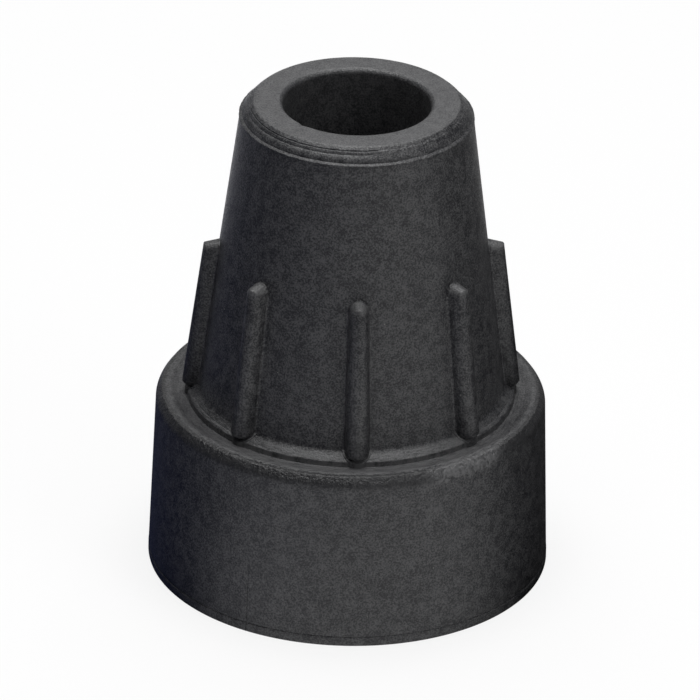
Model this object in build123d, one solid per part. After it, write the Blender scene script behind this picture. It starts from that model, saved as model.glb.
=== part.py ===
from build123d import *
from math import cos, radians, sin, tan
import os

# Rubber tip for a walking cane, moulded in one piece: a blind socket for the
# tube in a ribbed conical neck, on a wide foot with a ringed tread.
# Millimetres. +Z points out of the socket, the origin is the middle of the
# sole, and one rib faces -Y.

# Socket
SOCKET_DIAMETER = 18.2
SOLE_THICKNESS = 22.45
MOUTH_ROUNDING = 0.7

# Rim round the mouth of the socket
RIM_WALL = 5.24
RIM_BEVEL_WIDTH = 1.2
RIM_BEVEL_HEIGHT = 1.4
RIM_EDGE_WIDTH = 0.5
RIM_EDGE_HEIGHT = 0.4

# Neck
NECK_HEIGHT = 36.5
NECK_DRAFT = 7.37

# Collar that the neck and its ribs stand on
COLLAR_BEVEL_WIDTH = 1.3
COLLAR_BEVEL_HEIGHT = 0.97
COLLAR_RISE = 0.57

# Shoulder of the foot: a shallow channel round the collar, a low crest, a bevelled corner
CHANNEL_WIDTH = 1.3
CREST_RISE = 0.4
CREST_SLOPE_WIDTH = 0.84
SHOULDER_WIDTH = 1.0
SHOULDER_FALL = 0.1
SHOULDER_BEVEL_WIDTH = 0.75
SHOULDER_BEVEL_HEIGHT = 1.0

# Foot
FOOT_HEIGHT = 22.6
FOOT_DRAFT = 2.0

# Ribs
RIB_COUNT = 8
RIB_LENGTH = 20.1
RIB_PROUD = 1.95
RIB_BASE_WIDTH = 3.1
RIB_DRAFT = 1.0
RIB_ROOT = 1.0
RIB_TOP_SLOPE = 12.0

# Ring grooves of the tread
TREAD_DEPTH = 1.5
TREAD_GROOVE_WIDTH = 2.0
TREAD_PITCH = 6.0
TREAD_EDGE_LAND = 3.0
TREAD_CENTRE_RADIUS = 6.0

# Radii
socket_radius = SOCKET_DIAMETER / 2
neck_top_radius = socket_radius + RIM_WALL
rim_radius = neck_top_radius - RIM_BEVEL_WIDTH
top_radius = rim_radius - RIM_EDGE_WIDTH
neck_base_radius = neck_top_radius + NECK_HEIGHT * tan(radians(NECK_DRAFT))
collar_radius = neck_base_radius + COLLAR_BEVEL_WIDTH
channel_radius = collar_radius + CHANNEL_WIDTH
crest_radius = channel_radius + CREST_SLOPE_WIDTH
shoulder_radius = crest_radius + SHOULDER_WIDTH
foot_top_radius = shoulder_radius + SHOULDER_BEVEL_WIDTH

# Heights
crest_z = FOOT_HEIGHT + CREST_RISE
shoulder_z = crest_z - SHOULDER_FALL
foot_top_z = shoulder_z - SHOULDER_BEVEL_HEIGHT
collar_z = FOOT_HEIGHT + COLLAR_RISE
neck_base_z = collar_z + COLLAR_BEVEL_HEIGHT
neck_top_z = neck_base_z + NECK_HEIGHT
rim_z = neck_top_z + RIM_BEVEL_HEIGHT
total_height = rim_z + RIM_EDGE_HEIGHT

sole_radius = foot_top_radius + foot_top_z * tan(radians(FOOT_DRAFT))


def turned_body():
    """The tip without its ribs and tread: one outline turned about the axis."""
    outline = [
        (0, 0),
        (sole_radius, 0),
        (foot_top_radius, foot_top_z),
        (shoulder_radius, shoulder_z),
        (crest_radius, crest_z),
        (channel_radius, FOOT_HEIGHT),
        (collar_radius, FOOT_HEIGHT),
        (collar_radius, collar_z),
        (neck_base_radius, neck_base_z),
        (neck_top_radius, neck_top_z),
        (rim_radius, rim_z),
        (top_radius, total_height),
        (socket_radius, total_height),
        (socket_radius, SOLE_THICKNESS),
        (0, SOLE_THICKNESS),
    ]
    body = revolve(Plane.XZ * make_face(Polyline(*outline, close=True)), Axis.Z)
    mouth = body.faces().sort_by(Axis.Z)[-1].edges().sort_by(SortBy.RADIUS)[0]
    return fillet(mouth, MOUTH_ROUNDING)


def tread_grooves():
    """Concentric grooves of the sole, stepped inwards from its outer land."""
    grooves = []
    outer = sole_radius - TREAD_EDGE_LAND
    while outer - TREAD_GROOVE_WIDTH > TREAD_CENTRE_RADIUS:
        ring = Circle(outer) - Circle(outer - TREAD_GROOVE_WIDTH)
        grooves.append(extrude(ring, TREAD_DEPTH))
        outer -= TREAD_PITCH
    return grooves


def rib():
    """One drafted rib, round along its crest, that leans with the neck and stands on the collar."""
    lean = radians(NECK_DRAFT - RIB_DRAFT)
    neck_slope = tan(radians(NECK_DRAFT))
    base_radius = neck_base_radius + COLLAR_BEVEL_HEIGHT * neck_slope + RIB_PROUD
    base = Plane((0, -base_radius, collar_z), x_dir=(1, 0, 0), z_dir=(0, sin(lean), cos(lean)))
    half = RIB_BASE_WIDTH / 2
    depth = RIB_PROUD + RIB_ROOT
    section = make_face(
        Curve()
        + [
            Line((half, depth), (-half, depth)),
            Line((-half, depth), (-half, half)),
            ThreePointArc((-half, half), (0, 0), (half, half)),
            Line((half, half), (half, depth)),
        ]
    )
    bar = extrude(base * section, RIB_LENGTH + depth, taper=RIB_DRAFT)

    end_z = collar_z + RIB_LENGTH
    end_radius = neck_base_radius - (end_z - neck_base_z) * neck_slope
    slope = radians(RIB_TOP_SLOPE)
    top_end = Plane((0, -end_radius, end_z), x_dir=(1, 0, 0), z_dir=(0, -sin(slope), cos(slope)))
    return split(bar, bisect_by=top_end, keep=Keep.BOTTOM)


tip = turned_body() - tread_grooves()
tip += PolarLocations(0, RIB_COUNT) * rib()
tip = tip.solid()
tip.label = "cane_tip"

os.makedirs("parts", exist_ok=True)
export_step(tip, "parts/cane_tip.step")

print("sole diameter", round(2 * sole_radius, 3))
print("height", round(total_height, 3))
print("socket depth", round(total_height - SOLE_THICKNESS, 3))
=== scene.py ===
from math import atan2, cos, degrees, exp, hypot, pi, radians, sin, tan
from types import SimpleNamespace

import bmesh
import bpy
from mathutils import Matrix, Vector


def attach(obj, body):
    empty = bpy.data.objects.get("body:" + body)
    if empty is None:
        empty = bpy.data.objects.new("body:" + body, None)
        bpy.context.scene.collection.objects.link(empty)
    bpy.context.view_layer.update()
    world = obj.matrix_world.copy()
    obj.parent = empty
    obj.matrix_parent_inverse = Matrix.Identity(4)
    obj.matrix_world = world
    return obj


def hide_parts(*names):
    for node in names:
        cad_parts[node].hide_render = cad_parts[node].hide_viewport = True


# The rubber tip is modelled again over its CAD solid: a finer turned body with
# rounded corners and mould marks, and eight ribs joined to it. Radii and heights
# are millimetres, and MM turns them into metres where a mesh is made.

MM = 0.001

# Turned body. Points of its outline are (radius, height).
COLUMNS = 288
LONG_EDGE = 3.0
SOLE_RADIUS = 25.016
GROOVE_DEPTH = 1.5
GROOVE_WIDTH = 2.0
GROOVE_PITCH = 6.0
GROOVE_COUNT = 3
SOLE_LAND = 3.0
SOLE_BAND_HEIGHT = 1.2
FOOT_DRAFT = 2.0
FOOT_TOP = (24.25, 21.9)
SHOULDER = (23.55, 22.84)
CREST = (22.5, 23.0)
CHANNEL_EDGE = (21.66, 22.63)
COLLAR_FOOT = (20.41, 22.45)
COLLAR = (20.36, 23.17)
NECK_BASE = (19.06, 24.14)
NECK_TOP = (14.34, 60.64)
TOP_EDGE = (12.64, 62.44)
SOCKET_RADIUS = 9.1
SOCKET_FLOOR = 22.45
MOUTH_ROUNDING = 0.7

# Ribs
RIB_COUNT = 8
RIB_BOTTOM = 23.3
RIB_TOP = 43.5
RIB_TOP_SLOPE = 12.0
RIB_BOTTOM_WIDTH = 3.1
RIB_TOP_WIDTH = 2.4
RIB_PROUD = 1.95
RIB_ROOT = 1.0
RIB_BLANK_TOP = RIB_TOP + 1
RIB_ARCH_RADIUS = 1.25
RIB_TOP_ROUNDING = 0.14
RIB_BOTTOM_ROUNDING = 1.25

# Fillets in the corners beside a rib
FILLET_RADIUS = 0.3
FILLET_BOTTOM = RIB_BOTTOM + 0.3
FILLET_TOP = RIB_TOP - 1.3
FILLET_OVERLAP = 0.005
FILLET_TAIL_LENGTH = 0.35
FILLET_TAIL_DEPTH = 0.1
FILLET_ROOT = 1.4

# The collar's swell round a rib's end
SWELL_FRONT = 20.68
SWELL_BACK = 18.6
SWELL_HALF_WIDTH = 1.83
SWELL_BOTTOM = 22.3
SWELL_BLANK_HEIGHT = 4.0
SWELL_RISE = 0.07
SWELL_ROUNDING = 0.1

# Marks of the mould. Lines in the outline are lists of (radius, height, rounding).
MOULD_LINE_DEPTH = 0.07
LEDGE_LINE = [(20.0, 23.435, 0), (19.9, 23.46, 0), (19.8, 23.585, 0)]
FLASH_LIP = [
    (14.37, 60.38, 0),
    (14.5, 60.47, 0),
    (14.49, 60.61, 0),
    (14.4, 60.69, 0),
    (14.14, 60.8, 0),
    (14.06, 60.76, 0),
    (14.02, 60.99, 0),
]
LIP_UNEVENNESS = 0.09
LEDGE_UNEVENNESS = 0.05
RIM_LINES = [
    (13.58, 61.53, 0),
    (13.46, 61.58, 0),
    (13.36, 61.78, 0),
    (13.18, 61.98, 0.05),
    (13.09, 61.95, 0),
    (13.06, 62.08, 0),
]
NOTCH_AZIMUTH = -46.5
NOTCH_DEPTH = 0.12
SEAM_AZIMUTH = -32.2
SEAM_HALF_ANGLE = 0.25
SEAM_TOP = 11.0
SEAM_FADE = 5.0
SEAM_DEPTH = 0.09

# Edges sharper than these angles are left flat, or count as sharp when selected
SMOOTH_ANGLE = 32.0
SHARP_ANGLE = 40.0

# Colours and relief of the rubber
DARK_GRAIN = (0.001, 0.0012, 0.0035, 1)
LIGHT_GRAIN = (0.065, 0.065, 0.067, 1)
# The pale colour is for rings of wear and pale tops, and also for painted light: a painted
# highlight on the shoulder's band and painted light in the socket's mouth. The colour after it is
# painted shade in the shoulder's band.
PALE_AND_PAINTED_LIGHT = (0.096, 0.096, 0.098, 1)
BAND_SHADE = (0.006, 0.006, 0.007, 1)
SPECK = (0.16, 0.16, 0.15, 1)
RELIEF_DEPTH = 0.1

# Stage
FLOOR_SIZE = 4.0
FLOOR_WHITE_SHARE = 0.8
FLOOR_SIDE_LEVEL = 0.007
LAMP_DISTANCE = 0.7

# Camera
CAMERA_AIM = (-0.0002, 0.0, 0.02813)
CAMERA_AZIMUTH = -2.7
CAMERA_ELEVATION = 27.366
CAMERA_DISTANCE = 1.0395
CAMERA_ROLL = 1.257
CAMERA_LENS = 430.3


def neck_radius(height):
    """Radius of the neck's cone at a height."""
    (low_r, low_z), (top_r, top_z) = NECK_BASE, NECK_TOP
    return low_r + (height - low_z) * (top_r - low_r) / (top_z - low_z)


def new_point(name):
    """Adds a mesh of one vertex at the origin and stays in edit mode on it."""
    bpy.ops.object.select_all(action="DESELECT")
    bpy.ops.mesh.primitive_plane_add(size=MM)
    piece = bpy.context.object
    piece.name = piece.data.name = name
    bpy.ops.object.mode_set(mode="EDIT")
    bpy.ops.mesh.select_mode(type="VERT")
    bpy.ops.mesh.select_all(action="SELECT")
    bpy.ops.mesh.merge(type="CENTER")
    return piece


def move(delta):
    bpy.ops.transform.translate(value=Vector(delta) * MM)


def draw_by(delta):
    """Draws an edge on from the selected vertex."""
    bpy.ops.mesh.extrude_vertices_move(TRANSFORM_OT_translate={"value": Vector(delta) * MM})


def select(piece, kind, test, sharp=False):
    """Selects the vertices, edges or faces of an edit mesh whose points pass the test, or only
    the sharp edges among them."""
    mesh = bmesh.from_edit_mesh(piece.data)
    modes = {"verts": "VERT", "edges": "EDGE", "faces": "FACE"}
    bpy.ops.mesh.select_mode(type=modes[kind])
    bpy.ops.mesh.select_all(action="DESELECT")
    if sharp:
        bpy.ops.mesh.edges_select_sharp(sharpness=radians(SHARP_ANGLE))
    for item in getattr(mesh, kind):
        points = [item.co] if kind == "verts" else [v.co for v in item.verts]
        item.select_set((item.select or not sharp) and test([p / MM for p in points]))
    bmesh.update_edit_mesh(piece.data)


def close_to(point, reach=0.001):
    """A test for the vertex at a place of the outline, given as radius and height."""
    place = Vector((point[0], 0, point[1]))
    return lambda points: all((p - place).length < reach for p in points)


def apply_modifier(piece, kind, **settings):
    """Adds a modifier to a piece and applies it."""
    bpy.ops.object.select_all(action="DESELECT")
    piece.select_set(True)
    bpy.context.view_layer.objects.active = piece
    bpy.ops.object.modifier_add(type=kind)
    modifier = piece.modifiers[-1]
    for name, value in settings.items():
        setattr(modifier, name, value)
    bpy.ops.object.modifier_apply(modifier=modifier.name)


def weigh(piece, name, weight):
    """Adds a vertex group whose weights are given by weight(radius, height, azimuth). The azimuth
    is in degrees from the front towards the right."""
    group = piece.vertex_groups.new(name=name)
    for vertex in piece.data.vertices:
        x, y, z = vertex.co / MM
        share = weight(hypot(x, y), z, degrees(atan2(x, -y)))
        if share:
            group.add([vertex.index], share, "REPLACE")


def mark(piece, name, rise, weight):
    """Raises or sinks the surface by the weighted share of rise."""
    weigh(piece, name, weight)
    apply_modifier(piece, "DISPLACE", strength=rise * MM, mid_level=0, vertex_group=name)
    piece.vertex_groups.remove(piece.vertex_groups[name])


def soften(piece, name, times, weight):
    """Smooths the surface by the weighted share."""
    weigh(piece, name, weight)
    apply_modifier(piece, "SMOOTH", factor=0.5, iterations=times, vertex_group=name)
    piece.vertex_groups.remove(piece.vertex_groups[name])


def fade(value, start, end):
    """0 before start and 1 after end, smooth between them."""
    share = min(max((value - start) / (end - start), 0), 1)
    return share * share * (3 - 2 * share)


def between(value, low, high, soft):
    """1 between low and high and 0 outside them, over a soft edge."""
    return fade(value, low - soft, low) * (1 - fade(value, high, high + soft))


def waver(azimuth, *waves):
    """An uneven share from 0 to 1 along a ring, from a few waves a turn."""
    total = sum(sin(radians(azimuth) * wave + wave * wave) for wave in waves)
    return 0.5 + 0.5 * total / len(waves)


def sole_outline():
    """The sole and its ring grooves, from the middle to the foot's edge."""
    corners = [(0, 0, 0)]
    for ring in reversed(range(GROOVE_COUNT)):
        outer = SOLE_RADIUS - SOLE_LAND - ring * GROOVE_PITCH
        inner = outer - GROOVE_WIDTH
        corners += [
            (inner, 0, 0.2),
            (inner, GROOVE_DEPTH, 0.2),
            (outer, GROOVE_DEPTH, 0.2),
            (outer, 0, 0.2),
        ]
    return corners


def foot_outline():
    """The foot's wall with its mould line, and the shoulder up to the collar."""
    band = SOLE_BAND_HEIGHT
    wall = FOOT_TOP[0] + (FOOT_TOP[1] - band) * tan(radians(FOOT_DRAFT))
    return [
        (SOLE_RADIUS, 0, 0.1),
        (SOLE_RADIUS - 0.01, band - 0.1, 0.04),
        (wall - MOULD_LINE_DEPTH, band, 0),
        (wall, band + 0.12, 0.04),
        (*FOOT_TOP, 0.4),
        (*SHOULDER, 0.15),
        (*CREST, 0.3),
        (*CHANNEL_EDGE, 0.2),
        (*COLLAR_FOOT, 0.1),
        (*COLLAR, 0.1),
        *LEDGE_LINE,
        (*NECK_BASE, 0.25),
    ]


def rim_outline():
    """The flash lip at the neck's top, the bevel with two fine lines, and the socket."""
    return [
        *FLASH_LIP,
        *RIM_LINES,
        (*TOP_EDGE, 0.25),
        (SOCKET_RADIUS, TOP_EDGE[1], MOUTH_ROUNDING),
        (SOCKET_RADIUS, SOCKET_FLOOR, 0.5),
        (0, SOCKET_FLOOR, 0),
    ]


def draw_outline(piece, corners):
    """Draws the outline through its corners (radius, height, rounding) and rounds them."""
    move((corners[0][0], 0, corners[0][1]))
    for here, there in zip(corners, corners[1:]):
        draw_by((there[0] - here[0], 0, there[1] - here[1]))
    for rounding in sorted({corner[2] for corner in corners} - {0}):
        tests = [close_to(corner[:2]) for corner in corners if corner[2] == rounding]
        select(piece, "verts", lambda points: any(test(points) for test in tests))
        bpy.ops.mesh.bevel(
            affect="VERTICES",
            offset=rounding * MM,
            segments=8 if rounding > 0.3 else 3,
        )


def divide(piece, low, high, cuts):
    """Cuts the outline's long edges whose middle lies between two heights."""
    select(
        piece,
        "edges",
        lambda points: (points[0] - points[1]).length > LONG_EDGE
        and low < (points[0].z + points[1].z) / 2 < high
        and min(points[0].x, points[1].x) > 1,
    )
    bpy.ops.mesh.subdivide(number_cuts=cuts)


def turned_body():
    """The tip without its ribs, turned about the axis."""
    body = new_point("cane_tip_rubber")
    draw_outline(body, sole_outline() + foot_outline() + rim_outline())
    divide(body, 5, 20, 12)
    divide(body, 25, 60, 16)
    bpy.ops.mesh.select_all(action="SELECT")
    bpy.ops.mesh.spin(steps=COLUMNS, angle=2 * pi, center=(0, 0, 0), axis=(0, 0, 1))
    bpy.ops.mesh.select_all(action="SELECT")
    bpy.ops.mesh.remove_doubles(threshold=0.002 * MM)
    bpy.ops.mesh.normals_make_consistent(inside=False)
    bpy.ops.object.mode_set(mode="OBJECT")
    return body


def mould_marks(body):
    """Uneven places that the mould and its flash leave on the turned body."""
    lip = [corner[:2] for corner in FLASH_LIP[1:5]]

    def on_lip(radius, height, azimuth):
        near = any(hypot(radius - r, height - z) < 0.03 for r, z in lip)
        return near * waver(azimuth, 23, 37, 61, 97)

    def on_rim_lines(radius, height, azimuth):
        near = between(height, 61.3, 62.25, 0.1) * (radius > 12.8)
        return near * fade(azimuth, 4, 18) * (1 - fade(azimuth, 125, 150))

    def right_of_lip(radius, height, azimuth):
        near = between(height, 60.36, 61.05, 0.05) * (radius > 13)
        return near * 0.75 * fade(azimuth, 14, 34) * (1 - fade(azimuth, 125, 150))

    def on_ledge_line(radius, height, azimuth):
        near = hypot(radius - LEDGE_LINE[1][0], height - LEDGE_LINE[1][1]) < 0.03
        return near * between(azimuth, -42, 48, 6)

    def at_notch(radius, height, azimuth):
        return (
            exp(-(((azimuth - NOTCH_AZIMUTH) / 3) ** 2))
            * between(height, 61.8, 62.4, 0.5)
            * (1 - fade(radius, 9.4, 10))
        )

    mark(body, "flash lip", -LIP_UNEVENNESS, on_lip)
    soften(body, "rim lines", 12, on_rim_lines)
    soften(body, "right of lip", 5, right_of_lip)
    mark(body, "ledge line", LEDGE_UNEVENNESS, on_ledge_line)
    mark(body, "notch", -NOTCH_DEPTH, at_notch)


def seam(body):
    """A faint upright line that the mould's seam leaves low on the foot."""
    bpy.ops.object.mode_set(mode="EDIT")
    for step in (-1, 0, 1):
        azimuth = radians(SEAM_AZIMUTH + step * SEAM_HALF_ANGLE)
        across = Vector((cos(azimuth), sin(azimuth), 0))
        out = Vector((sin(azimuth), -cos(azimuth), 0))

        def on_wall(points):
            middle = sum(points, Vector()) / len(points)
            return (
                abs(middle.dot(across)) < 1
                and middle.dot(out) > 23
                and 0.01 < middle.z < SEAM_TOP + 3
            )

        select(body, "faces", on_wall)
        bpy.ops.mesh.bisect(plane_co=(0, 0, 0), plane_no=across)
    bpy.ops.object.mode_set(mode="OBJECT")

    def along_seam(radius, height, azimuth):
        near = abs(azimuth - SEAM_AZIMUTH) < SEAM_HALF_ANGLE / 3 and radius > 23
        return near * (1 - fade(height, SEAM_TOP - SEAM_FADE, SEAM_TOP))

    mark(body, "seam", -SEAM_DEPTH, along_seam)


def turn(steps, angle, centre):
    """Draws an arc on from the selected vertex, anticlockwise seen from above."""
    bpy.ops.mesh.spin(
        steps=steps, angle=-angle, center=Vector((*centre, 0)) * MM, axis=(0, 0, 1)
    )


def rib_width(height):
    """Width of the drafted rib at a height."""
    share = (height - RIB_BOTTOM) / (RIB_TOP - RIB_BOTTOM)
    return RIB_BOTTOM_WIDTH + share * (RIB_TOP_WIDTH - RIB_BOTTOM_WIDTH)


def bar_plan(height):
    """Draws half of the rib's level section on from the selected vertex at the origin: half of
    its round crest, its flank and its root."""
    half = rib_width(height) / 2
    crest = -(neck_radius(height) + RIB_PROUD)
    root = -(neck_radius(height) - RIB_ROOT)
    move((0, crest, height))
    turn(8, pi / 2, (0, crest + half))
    draw_by((0, root - crest - half, 0))
    draw_by((-half, 0, 0))


def fillet_plan(height):
    """Draws half of a level section through the fillets in the corners beside the rib."""
    neck = neck_radius(height) + FILLET_OVERLAP
    half = rib_width(height) / 2 - FILLET_OVERLAP
    centre_x = half + FILLET_RADIUS
    centre_y = -((neck + FILLET_RADIUS) ** 2 - centre_x**2) ** 0.5
    move((0, centre_y, height))
    draw_by((half, 0, 0))
    foot_angle = atan2(centre_x, -centre_y)
    turn(4, -(pi / 2 - foot_angle), (centre_x, centre_y))
    edge = Vector((sin(foot_angle), -cos(foot_angle), 0)) * neck
    sunk_angle = foot_angle + FILLET_TAIL_LENGTH / neck
    sunk = Vector((sin(sunk_angle), -cos(sunk_angle), 0)) * (neck - FILLET_TAIL_DEPTH)
    draw_by(sunk - edge)
    inner = sunk * (neck - FILLET_ROOT) / neck
    draw_by(inner - sunk)
    draw_by((-inner.x, 0, 0))


def bar(name, plan, low, high):
    """A closed bar between two level sections, left in edit mode."""
    piece = new_point(name)
    plan(low)
    bpy.ops.mesh.select_all(action="DESELECT")
    bpy.ops.object.mode_set(mode="OBJECT")
    new_point(name + "_top")
    plan(high)
    bpy.ops.object.mode_set(mode="OBJECT")
    piece.select_set(True)
    bpy.context.view_layer.objects.active = piece
    bpy.ops.object.join()
    bpy.ops.object.mode_set(mode="EDIT")
    bpy.ops.mesh.select_all(action="SELECT")
    bpy.ops.mesh.bridge_edge_loops()
    bpy.ops.object.mode_set(mode="OBJECT")
    apply_modifier(piece, "MIRROR", use_clip=True, merge_threshold=0.001 * MM)
    bpy.ops.object.mode_set(mode="EDIT")
    for end in (low, high):
        select(piece, "edges", lambda points: all(abs(p.z - end) < 0.001 for p in points))
        bpy.ops.mesh.edge_face_add()
    bpy.ops.mesh.select_all(action="SELECT")
    bpy.ops.mesh.normals_make_consistent(inside=False)
    return piece


def join_to(piece, other):
    """Unites the other piece with the first one."""
    apply_modifier(piece, "BOOLEAN", operation="UNION", solver="EXACT", object=other)
    bpy.data.objects.remove(other)


def rib():
    """One rib that leans with the neck, facing -Y."""
    piece = bar("rib", bar_plan, RIB_BOTTOM, RIB_BLANK_TOP)
    round_top(piece)
    round_bottom()
    bpy.ops.object.mode_set(mode="OBJECT")
    fillets = bar("fillets", fillet_plan, FILLET_BOTTOM, FILLET_TOP)
    bpy.ops.object.mode_set(mode="OBJECT")
    join_to(piece, fillets)
    join_to(piece, swell())
    return piece


def cut_away(place, facing):
    """Cuts off what lies beyond a plane and closes the cut."""
    bpy.ops.mesh.select_all(action="SELECT")
    bpy.ops.mesh.bisect(
        plane_co=place * MM,
        plane_no=facing,
        use_fill=True,
        clear_outer=True,
        threshold=0.0001 * MM,
    )


def round_top(piece):
    """Cuts the rib's upper end to an arch that slopes outwards, and rounds its front edge."""
    slope = radians(RIB_TOP_SLOPE)
    centre = Vector((0, -neck_radius(RIB_TOP), RIB_TOP - RIB_ARCH_RADIUS))
    for side in range(-5, 6):
        up = Vector((sin(side * pi / 12), 0, cos(side * pi / 12)))
        facing = up * cos(slope) - Vector((0, sin(slope), 0))
        cut_away(centre + up * RIB_ARCH_RADIUS, facing)

    def on_front_edge(points):
        return all(p.z > RIB_TOP - 1.6 and -p.y > neck_radius(p.z) + 0.5 for p in points)

    select(piece, "edges", on_front_edge, sharp=True)
    bpy.ops.mesh.bevel(offset=RIB_TOP_ROUNDING * MM, segments=2, clamp_overlap=False)


def round_bottom():
    """Rounds the rib's bottom edge with slanting cuts all round its crest."""
    rounding = RIB_BOTTOM_ROUNDING
    half = RIB_BOTTOM_WIDTH / 2
    centre = Vector((0, half - neck_radius(RIB_BOTTOM) - RIB_PROUD, RIB_BOTTOM + rounding))
    for side in range(-3, 4):
        out = Vector((sin(side * pi / 8), -cos(side * pi / 8), 0))
        for tilt in (pi / 10, pi / 5, 3 * pi / 10, 2 * pi / 5):
            facing = out * cos(tilt) - Vector((0, 0, sin(tilt)))
            cut_away(centre + out * (half - rounding) + facing * rounding, facing)


def swell():
    """The collar's slight swell round a rib's end: a plate with a round front, its top a little
    above the collar's bevel."""
    half = SWELL_HALF_WIDTH
    piece = new_point("swell")
    move((-half, -SWELL_BACK, SWELL_BOTTOM))
    draw_by((0, half - SWELL_FRONT + SWELL_BACK, 0))
    turn(20, pi, (0, half - SWELL_FRONT))
    draw_by((0, SWELL_FRONT - half - SWELL_BACK, 0))
    draw_by((-2 * half, 0, 0))
    bpy.ops.mesh.select_all(action="SELECT")
    bpy.ops.mesh.remove_doubles(threshold=0.002 * MM)
    bpy.ops.mesh.edge_face_add()
    bpy.ops.mesh.extrude_region_move(
        TRANSFORM_OT_translate={"value": (0, 0, SWELL_BLANK_HEIGHT * MM)}
    )
    bpy.ops.mesh.select_all(action="SELECT")
    bpy.ops.mesh.normals_make_consistent(inside=False)
    slope = atan2(NECK_BASE[1] - COLLAR[1], COLLAR[0] - NECK_BASE[0])
    facing = Vector((0, -sin(slope), cos(slope)))
    place = Vector((0, -COLLAR[0], COLLAR[1])) + facing * SWELL_RISE
    cut_away(place, facing)

    def on_top_edge(points):
        return all(abs((p - place).dot(facing)) < 0.001 for p in points)

    select(piece, "edges", on_top_edge)
    bpy.ops.mesh.bevel(offset=SWELL_ROUNDING * MM, segments=2)
    bpy.ops.object.mode_set(mode="OBJECT")
    return piece


def ribs():
    """All the ribs as one mesh, the first facing -Y."""
    piece = rib()
    bpy.ops.object.mode_set(mode="EDIT")
    bpy.ops.mesh.select_all(action="SELECT")
    bpy.ops.mesh.spin(
        steps=RIB_COUNT,
        dupli=True,
        angle=2 * pi,
        center=(0, 0, 0),
        axis=(0, 0, 1),
    )
    bpy.ops.mesh.select_all(action="SELECT")
    bpy.ops.mesh.remove_doubles(threshold=0.002 * MM)
    bpy.ops.object.mode_set(mode="OBJECT")
    return piece


def rubber_tip():
    """The turned body and the ribs joined into one closed mesh."""
    body = turned_body()
    mould_marks(body)
    seam(body)
    join_to(body, ribs())
    bpy.ops.object.select_all(action="DESELECT")
    body.select_set(True)
    bpy.context.view_layer.objects.active = body
    bpy.ops.object.shade_smooth_by_angle(angle=radians(SMOOTH_ANGLE))
    return body


class Nodes:
    """Adds nodes to a material or world and links them in one line."""

    def __init__(self, owner):
        owner.use_nodes = True
        self.tree = owner.node_tree
        self.tree.nodes.clear()

    def add(self, kind, inputs=None, **settings):
        node = self.tree.nodes.new(kind)
        for name, value in settings.items():
            setattr(node, name, value)
        for key, value in (inputs or {}).items():
            if isinstance(value, bpy.types.NodeSocket):
                self.tree.links.new(value, node.inputs[key])
            else:
                node.inputs[key].default_value = value
        return node

    def math(self, operation, a, b=0.0, c=0.0, clamp=False):
        node = self.add(
            "ShaderNodeMath", {0: a, 1: b, 2: c}, operation=operation, use_clamp=clamp
        )
        return node.outputs[0]

    def ramp(self, value, low, high, low_result=0.0, high_result=1.0):
        node = self.add(
            "ShaderNodeMapRange",
            {0: value, 1: low, 2: high, 3: low_result, 4: high_result},
            interpolation_type="SMOOTHSTEP",
        )
        return node.outputs[0]

    def fade(self, length, start, end, low_result=0.0, high_result=1.0):
        """A ramp of a length, between two places in millimetres."""
        return self.ramp(length, start * MM, end * MM, low_result, high_result)

    def product(self, first, *others):
        """The values multiplied together."""
        for other in others:
            first = self.math("MULTIPLY", first, other)
        return first

    def blend(self, share, first, second):
        """The first colour turned into the second one by a share."""
        inputs = {"Factor": share, 6: first, 7: second}
        return self.add("ShaderNodeMix", inputs, data_type="RGBA").outputs[2]

    def noise(self, place, size, detail=2.0, roughness=0.5):
        """Noise whose grains are about size millimetres across."""
        node = self.add(
            "ShaderNodeTexNoise",
            {"Vector": place, "Scale": 1 / (size * MM), "Detail": detail, "Roughness": roughness},
        )
        return node.outputs["Fac"]


def rubber_places(nodes):
    """Where a point of the rubber is, its distance from the axis and its direction from it."""
    place = nodes.add("ShaderNodeTexCoord").outputs["Object"]
    x, y, z = nodes.add("ShaderNodeSeparateXYZ", {0: place}).outputs
    level = nodes.add("ShaderNodeCombineXYZ", {0: x, 1: y, 2: 0.0}).outputs[0]
    radius = nodes.add("ShaderNodeVectorMath", {0: level}, operation="LENGTH").outputs[1]
    outwards = nodes.add("ShaderNodeVectorMath", {0: level}, operation="NORMALIZE").outputs[0]
    return SimpleNamespace(place=place, x=x, y=y, z=z, radius=radius, outwards=outwards)


def rubber_patterns(nodes, at):
    """Uneven patterns from 0 to 1: a fine grain and its mottled shade, blotches, blotches with
    upright streaks, thin rings round the axis, and a few specks."""
    grain = nodes.noise(at.place, 0.22, 3.0, 0.65)
    mottle = nodes.noise(at.place, 1.3)
    shade = nodes.math("MULTIPLY_ADD", grain, 0.75, nodes.math("MULTIPLY", mottle, 0.25))

    around = nodes.add("ShaderNodeVectorMath", {0: at.outwards, 3: 24 * MM}, operation="SCALE")
    streaks = nodes.noise(around.outputs[0], 0.5, 1.0)
    blotches = nodes.noise(at.place, 0.42)
    rough = nodes.math("MULTIPLY_ADD", streaks, 0.4, nodes.math("MULTIPLY", blotches, 0.6))

    short = nodes.add(
        "ShaderNodeVectorMath", {0: at.outwards, 1: (4 * MM, 4 * MM, 0)}, operation="MULTIPLY"
    )
    across = nodes.add("ShaderNodeCombineXYZ", {0: 0.0, 1: 0.0, 2: at.radius})
    ringed = nodes.add("ShaderNodeVectorMath", {0: short.outputs[0], 1: across.outputs[0]})
    rings = nodes.noise(ringed.outputs[0], 0.2, 1.0)

    cells = nodes.add("ShaderNodeTexVoronoi", {"Vector": at.place, "Scale": 1 / (1.6 * MM)})
    lot = nodes.add("ShaderNodeSeparateXYZ", {0: cells.outputs["Color"]}).outputs[0]
    specks = nodes.product(
        nodes.ramp(cells.outputs["Distance"], 0.075, 0.035),
        nodes.math("GREATER_THAN", lot, 0.93),
    )
    return SimpleNamespace(
        grain=grain, shade=shade, blotches=blotches, rough=rough, rings=rings, specks=specks
    )


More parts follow.
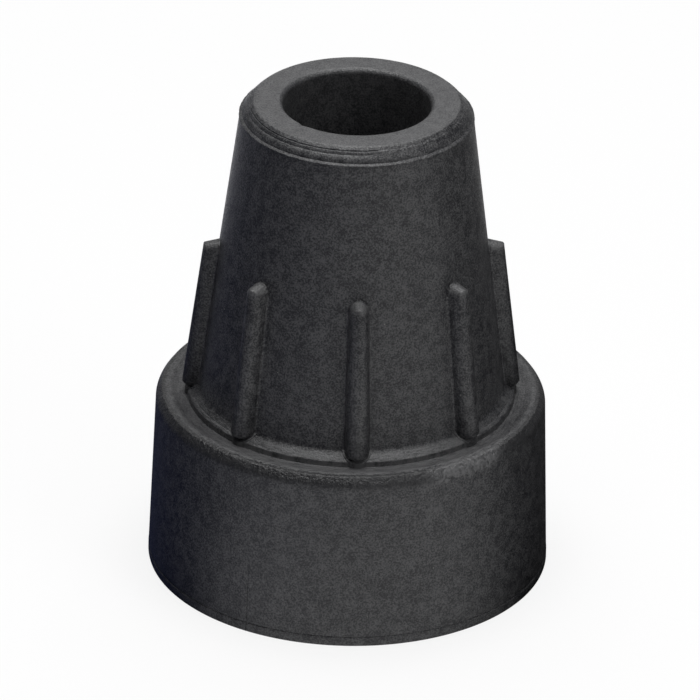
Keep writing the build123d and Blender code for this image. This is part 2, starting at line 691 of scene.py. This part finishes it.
def rubber_areas(nodes, at, pattern):
    """Areas of the tip, from 0 outside to 1 inside: the band round the shoulder and its right
    front part that carries a painted highlight, the shelf between neck and shoulder, the top
    face, the rim's bevel on the right, the ribs' tips and the mouth of the socket, where painted
    light fades with depth."""
    blotches = pattern.blotches
    ragged_height = nodes.math("MULTIPLY_ADD", blotches, 2.4 * MM, at.z)
    ragged_radius = nodes.math(
        "MULTIPLY_ADD", nodes.math("SUBTRACT", blotches, 0.5), 0.9 * MM, at.radius
    )
    band = nodes.product(
        nodes.fade(at.radius, 23.0, 23.25),
        nodes.fade(ragged_height, 22.2, 23.0),
        nodes.fade(at.z, 30, 29),
    )
    # The band's right front part, where a painted highlight goes.
    band_highlight = nodes.product(
        band, nodes.fade(at.x, 7, 11), nodes.fade(at.x, 19, 16.5), nodes.fade(at.y, 0, -5)
    )
    shelf = nodes.product(
        nodes.fade(at.radius, 19.2, 19.6),
        nodes.fade(ragged_radius, 23.15, 22.9),
        nodes.fade(at.z, 24.2, 23.8),
    )
    bevel = nodes.product(
        nodes.fade(at.z, 60.9, 61.2), nodes.fade(at.z, 62.4, 62.2), nodes.fade(at.x, 1, 5)
    )
    tips = nodes.product(
        nodes.fade(at.z, 42.3, 42.7), nodes.fade(at.z, 44, 43.8), nodes.fade(at.radius, 16.8, 17)
    )
    # The socket's mouth, for painted light on the socket's wall that is strongest at the top and
    # gone 12 mm down.
    mouth = nodes.product(nodes.fade(at.radius, 9.6, 9.3), nodes.fade(at.z, 50, 62, 0.0, 0.7))
    return SimpleNamespace(
        band=band,
        band_highlight=band_highlight,
        shelf=shelf,
        top=nodes.fade(at.z, 62.3, 62.4),
        bevel=bevel,
        tips=tips,
        mouth=mouth,
    )


def rubber_colour(nodes, at, pattern, area):
    """Near black, with a mottled grain. It is paler in fine rings of wear on the shelf, palest
    towards the front where painted light is added, and paler on the top face and the ribs' tips.
    It has painted light down the socket's mouth, a painted highlight on the right front of the
    band round the shoulder and painted shade over the rest of that band, and a few pale specks."""
    front = nodes.add("ShaderNodeSeparateXYZ", {0: at.outwards}).outputs[1]
    # Fine rings of wear on the shelf, made palest towards the front by painted light.
    worn_and_front_light = nodes.product(
        area.shelf,
        nodes.ramp(front, -0.35, -0.9, 0.25, 1.0),
        nodes.fade(at.radius, 20.4, 20.7, 0.7, 1.05),
        nodes.ramp(pattern.rings, 0.35, 0.6, 0.3, 1.0),
    )
    # Paler on the top face and the ribs' tips, and painted light down the socket's mouth.
    upper = nodes.math("MAXIMUM", nodes.math("MAXIMUM", area.top, area.tips), area.mouth)
    pale_tops_and_painted_mouth_light = nodes.product(upper, nodes.ramp(pattern.shade, 0.3, 0.7, 0.3, 0.7))
    # Painted highlight in blotches on the band's right front part.
    band_highlight = nodes.product(area.band_highlight, nodes.ramp(pattern.blotches, 0.35, 0.6, 0.35, 1.0))
    pale = nodes.math("ADD", nodes.math("ADD", worn_and_front_light, pale_tops_and_painted_mouth_light), band_highlight, clamp=True)
    # Painted shade over the band round the shoulder, left out where its painted highlight is.
    band_shade = nodes.product(nodes.math("SUBTRACT", area.band, area.band_highlight), 0.7)

    colour = nodes.blend(nodes.ramp(pattern.shade, 0.4, 0.63), DARK_GRAIN, LIGHT_GRAIN)
    # Rings of wear, pale tops, painted light and the painted highlight turn it paler; painted
    # shade turns the band darker.
    colour = nodes.blend(pale, colour, PALE_AND_PAINTED_LIGHT)
    colour = nodes.blend(band_shade, colour, BAND_SHADE)
    return nodes.blend(pattern.specks, colour, SPECK)


def rubber_relief(nodes, pattern, area):
    """The normals of a fine grain, coarser in the band and on the rim's bevel, with thin rings on
    the shelf and the top face."""
    coarse = nodes.product(
        nodes.math("SUBTRACT", pattern.rough, 0.5),
        nodes.math("MULTIPLY_ADD", area.band, 2.5, nodes.product(area.bevel, 1.5)),
    )
    ringed = nodes.product(
        nodes.math("SUBTRACT", pattern.rings, 0.5),
        nodes.math("MULTIPLY_ADD", area.shelf, 0.6, nodes.product(area.top, 0.6)),
    )
    height = nodes.math("ADD", nodes.math("ADD", pattern.shade, coarse), ringed)
    inputs = {"Strength": 1.0, "Distance": RELIEF_DEPTH * MM, "Height": height}
    return nodes.add("ShaderNodeBump", inputs).outputs[0]


def rubber():
    """Charcoal black moulded rubber, satin."""
    material = bpy.data.materials.new("charcoal_rubber")
    nodes = Nodes(material)
    at = rubber_places(nodes)
    pattern = rubber_patterns(nodes, at)
    area = rubber_areas(nodes, at, pattern)
    shader = nodes.add(
        "ShaderNodeBsdfPrincipled",
        {
            "Base Color": rubber_colour(nodes, at, pattern, area),
            "Roughness": nodes.ramp(pattern.grain, 0.35, 0.65, 0.5, 0.38),
            "IOR": 1.52,
            "Normal": rubber_relief(nodes, pattern, area),
        },
    )
    nodes.add("ShaderNodeOutputMaterial", {"Surface": shader.outputs[0]})
    return material


def floor():
    """A white floor with the object's shadow in it. For the object's sheen it is lit paper in
    front and far behind, nearly dark beside the object, and faintly blue on the left."""
    bpy.ops.object.select_all(action="DESELECT")
    bpy.ops.mesh.primitive_plane_add(size=FLOOR_SIZE)
    piece = bpy.context.object
    piece.name = "floor"
    material = bpy.data.materials.new("white_floor")
    nodes = Nodes(material)
    place = nodes.add("ShaderNodeTexCoord").outputs["Object"]
    x, y, _ = nodes.add("ShaderNodeSeparateXYZ", {0: place}).outputs
    front = nodes.product(nodes.fade(y, -12, -30), nodes.fade(x, -55, -35, 0.38, 0.97))
    middle = nodes.fade(nodes.math("ABSOLUTE", x), 60, 40, 0.4, 1.6)
    behind = nodes.product(nodes.fade(y, 80, 110), middle)
    glow = nodes.math("ADD", nodes.math("ADD", front, behind), FLOOR_SIDE_LEVEL)

    path = nodes.add("ShaderNodeLightPath")
    paper = nodes.add("ShaderNodeBsdfDiffuse", {"Color": (0.8, 0.8, 0.8, 1)})
    white = nodes.add("ShaderNodeEmission", {"Color": (1, 1, 1, 1), "Strength": 1.0})
    seen = nodes.add(
        "ShaderNodeMixShader", {0: FLOOR_WHITE_SHARE, 1: paper.outputs[0], 2: white.outputs[0]}
    )
    paper_glow = nodes.add("ShaderNodeEmission", {"Color": (1, 1, 1, 1), "Strength": glow})
    dusk = nodes.add(
        "ShaderNodeEmission",
        {"Color": (0.2, 0.3, 1, 1), "Strength": nodes.fade(x, 0, -30, 0.0, 0.07)},
    )
    mirrored = nodes.add("ShaderNodeAddShader", {0: paper_glow.outputs[0], 1: dusk.outputs[0]})
    surface = nodes.add(
        "ShaderNodeMixShader",
        {0: path.outputs["Is Camera Ray"], 1: mirrored.outputs[0], 2: seen.outputs[0]},
    )
    nodes.add("ShaderNodeOutputMaterial", {"Surface": surface.outputs[0]})
    piece.data.materials.append(material)


def surroundings():
    """The room: white to the camera and nearly dark to the object."""
    world = bpy.data.worlds.new("studio")
    bpy.context.scene.world = world
    nodes = Nodes(world)
    path = nodes.add("ShaderNodeLightPath")
    room = nodes.add("ShaderNodeBackground", {"Color": (0.8, 0.88, 1.0, 1), "Strength": 0.013})
    white = nodes.add("ShaderNodeBackground", {"Color": (1, 1, 1, 1), "Strength": 1.0})
    surface = nodes.add(
        "ShaderNodeMixShader",
        {0: path.outputs["Is Camera Ray"], 1: room.outputs[0], 2: white.outputs[0]},
    )
    nodes.add("ShaderNodeOutputWorld", {"Surface": surface.outputs[0]})


def lamp(name, azimuth, elevation, size, level):
    """A soft square lamp that faces the object, placed by azimuth and elevation. Its level is
    its brightness, where 1 is white paper's."""
    light = bpy.data.lights.new(name, "AREA")
    light.shape = "SQUARE"
    light.size = size
    light.energy = level * pi * size * size
    a, e = radians(azimuth), radians(elevation)
    away = Vector((sin(a) * cos(e), -cos(a) * cos(e), sin(e)))
    holder = bpy.data.objects.new(name, light)
    holder.location = Vector((0, 0, 30 * MM)) + away * LAMP_DISTANCE
    holder.rotation_euler = away.to_track_quat("Z", "Y").to_euler()
    bpy.context.scene.collection.objects.link(holder)


def camera():
    """The camera at the photograph's angle, turned slightly about its own axis."""
    data = bpy.data.cameras.new("camera")
    data.lens = CAMERA_LENS
    data.clip_end = 10
    holder = bpy.data.objects.new("camera", data)
    a, e = radians(CAMERA_AZIMUTH), radians(CAMERA_ELEVATION)
    away = Vector((sin(a) * cos(e), -cos(a) * cos(e), sin(e)))
    holder.location = Vector(CAMERA_AIM) + away * CAMERA_DISTANCE
    turned = (
        Matrix.Rotation(a, 3, "Z")
        @ Matrix.Rotation(pi / 2 - e, 3, "X")
        @ Matrix.Rotation(radians(CAMERA_ROLL), 3, "Z")
    )
    holder.rotation_euler = turned.to_euler()
    bpy.context.scene.collection.objects.link(holder)
    bpy.context.scene.camera = holder


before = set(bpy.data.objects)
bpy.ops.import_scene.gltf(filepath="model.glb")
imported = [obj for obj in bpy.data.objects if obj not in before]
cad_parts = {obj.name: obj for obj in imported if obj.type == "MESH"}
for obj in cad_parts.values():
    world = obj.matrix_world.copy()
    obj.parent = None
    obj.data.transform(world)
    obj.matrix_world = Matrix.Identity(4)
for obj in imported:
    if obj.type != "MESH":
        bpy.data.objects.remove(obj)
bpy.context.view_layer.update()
bpy.ops.object.select_all(action="DESELECT")

tip = rubber_tip()
tip.data.materials.clear()
tip.data.materials.append(rubber())
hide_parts("cane_tip")
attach(tip, "root")

floor()
surroundings()
lamp("overhead", 180, 87, 0.7, 4.8)
lamp("right", 48, 35, 0.3, 2.5)
lamp("behind", 180, 27, 0.72, 0.45)
camera()

bpy.context.scene.view_settings.view_transform = "Standard"
